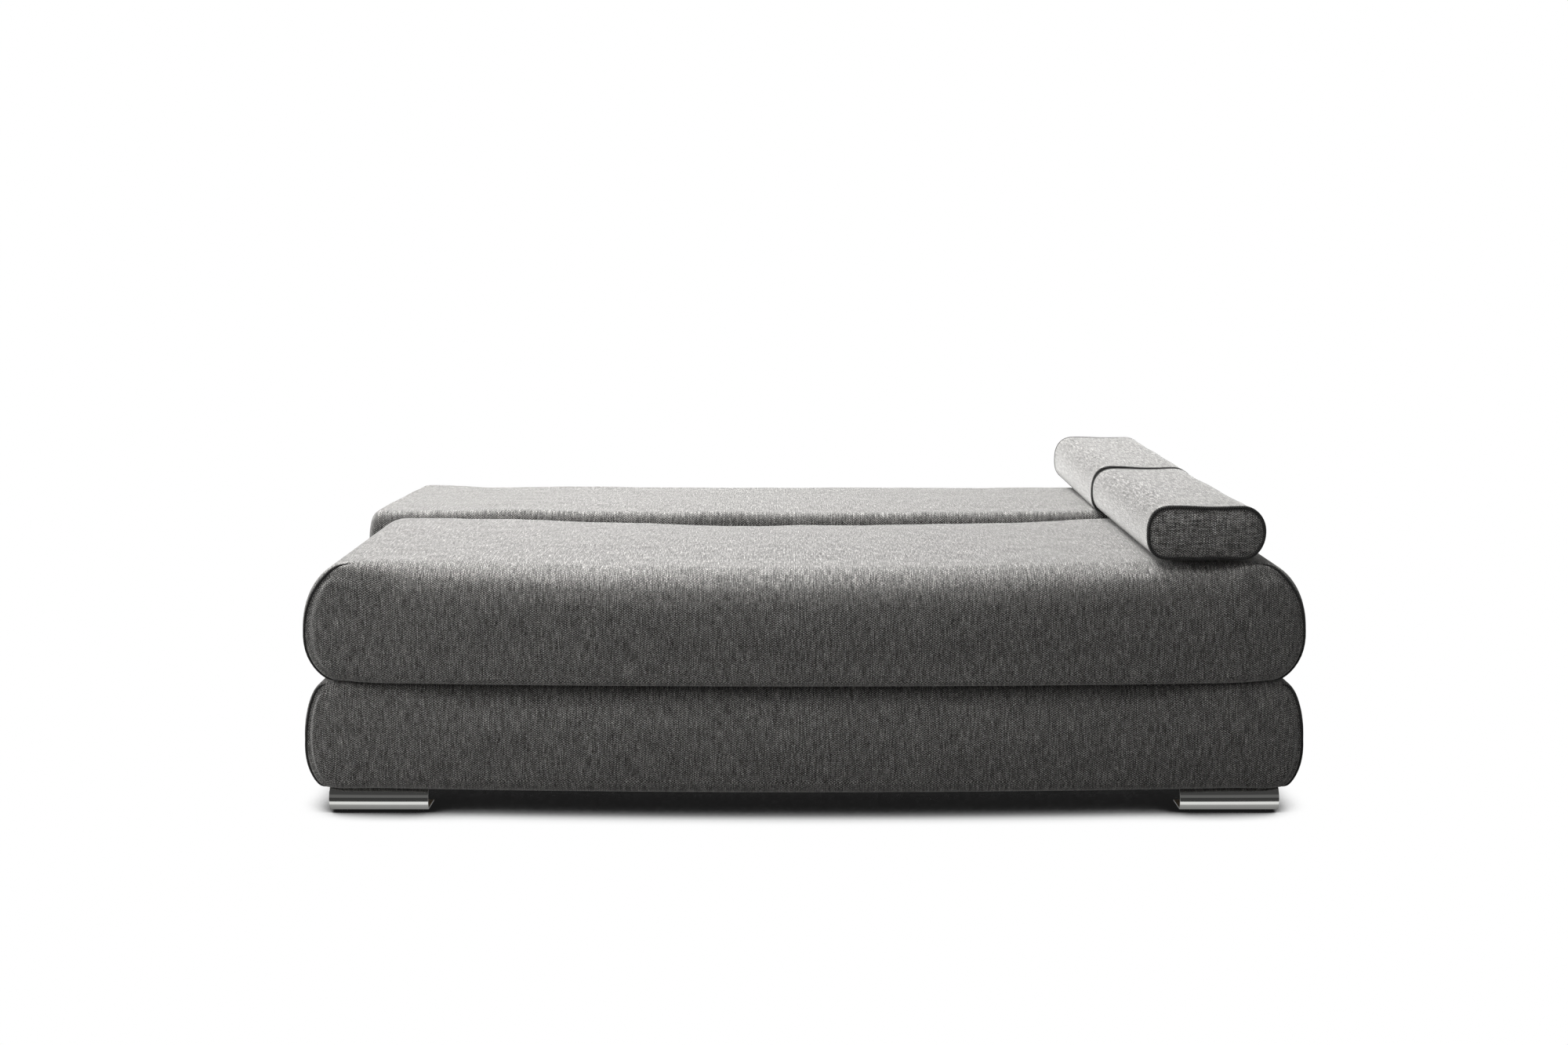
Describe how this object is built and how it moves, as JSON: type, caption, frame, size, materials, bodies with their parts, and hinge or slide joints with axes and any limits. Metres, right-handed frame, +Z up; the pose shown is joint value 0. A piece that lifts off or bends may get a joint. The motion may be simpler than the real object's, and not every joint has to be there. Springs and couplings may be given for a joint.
{
  "type": "futon sofa bed",
  "caption": "Fold-down sofa bed shown flat: padded base box with bedding space, lifting seat half, folding back half with rear stand, loose bolsters and bent metal feet.",
  "frame": {"origin": "on the floor, below the centre of the overall box with the bed flat", "axes": "+X to the right along the front, +Y from the front to the rear, +Z up"},
  "size_m": [2.09, 1.445, 0.6533],
  "materials": {
    "upholstery": "matte",
    "piping": "matte",
    "foam": "matte",
    "lining": "matte",
    "softwood": "matte",
    "board": "matte",
    "spring_steel": "satin",
    "black_steel": "satin",
    "zinc": "satin",
    "chrome": "polished",
    "glide_plastic": "matte",
    "rubber": "matte"
  },
  "bodies": {
    "base": {"back_bracket_left": "black_steel", "back_bracket_right": "black_steel", "base_divider_board": "board", "base_end_board_left": "board", "base_end_board_right": "board", "base_end_pad_left": "upholstery", "base_end_pad_right": "upholstery", "base_floor_panel": "board", "base_front_board": "board", "base_front_pad": "upholstery", "base_piping_left": "piping", "base_piping_right": "piping", "base_rear_board": "board", "base_rear_pad": "upholstery", "bracket_screws": "zinc", "foot_front_left": "chrome", "foot_front_right": "chrome", "foot_glides": "glide_plastic", "foot_rear_left": "chrome", "foot_rear_right": "chrome", "foot_screws": "zinc", "pivot_pins": "zinc", "seat_bracket_left": "black_steel", "seat_bracket_right": "black_steel", "seat_buffers": "rubber"},
    "seat": {"seat_cover": "upholstery", "seat_foam": "foam", "seat_frame": "softwood", "seat_lining": "lining", "seat_piping_left": "piping", "seat_piping_right": "piping", "seat_pivot_plate_left": "black_steel", "seat_pivot_plate_right": "black_steel", "seat_plate_screws": "zinc", "seat_springs": "spring_steel"},
    "back": {"back_cover": "upholstery", "back_foam": "foam", "back_frame": "softwood", "back_lining": "lining", "back_pawls": "black_steel", "back_piping_left": "piping", "back_piping_right": "piping", "back_pivot_plate_left": "black_steel", "back_pivot_plate_right": "black_steel", "back_plate_screws": "zinc", "back_springs": "spring_steel", "stand_bracket_left": "black_steel", "stand_bracket_right": "black_steel", "stand_bracket_screws": "zinc"},
    "stand": {"stand_crossbar": "black_steel", "stand_foot_caps": "rubber", "stand_leg_left": "black_steel", "stand_leg_right": "black_steel", "stand_pins": "zinc"},
    "bolster_front": {"bolster_front_cover": "upholstery", "bolster_front_foam": "foam", "bolster_front_piping": "piping"},
    "bolster_rear": {"bolster_rear_cover": "upholstery", "bolster_rear_foam": "foam", "bolster_rear_piping": "piping"}
  },
  "joints": [
    {"name": "seat_lift", "type": "hinge", "parent": "base", "child": "seat", "pos_m": [0, -0.1025, 0.406], "axis": [-1, 0, 0], "range_deg": [0, 45]},
    {"name": "back_fold", "type": "hinge", "parent": "base", "child": "back", "pos_m": [0, 0.1695, 0.406], "axis": [1, 0, 0], "range_deg": [0, 85]},
    {"name": "stand_fold", "type": "hinge", "parent": "back", "child": "stand", "pos_m": [0, 0.6225, 0.262], "axis": [-1, 0, 0], "range_deg": [0, 90]},
    {"name": "bolster_front_lift", "type": "slide", "parent": "base", "child": "bolster_front", "axis": [0, 0, 1], "range_m": [0, 0.49]},
    {"name": "bolster_rear_lift", "type": "slide", "parent": "base", "child": "bolster_rear", "axis": [0, 0, 1], "range_m": [0, 0.895]}
  ],
  "couplings": [
    {"joint": "bolster_front_lift", "follows": "seat_lift", "m_per_rad": 0.62},
    {"joint": "bolster_rear_lift", "follows": "back_fold", "m_per_rad": 0.6}
  ]
}
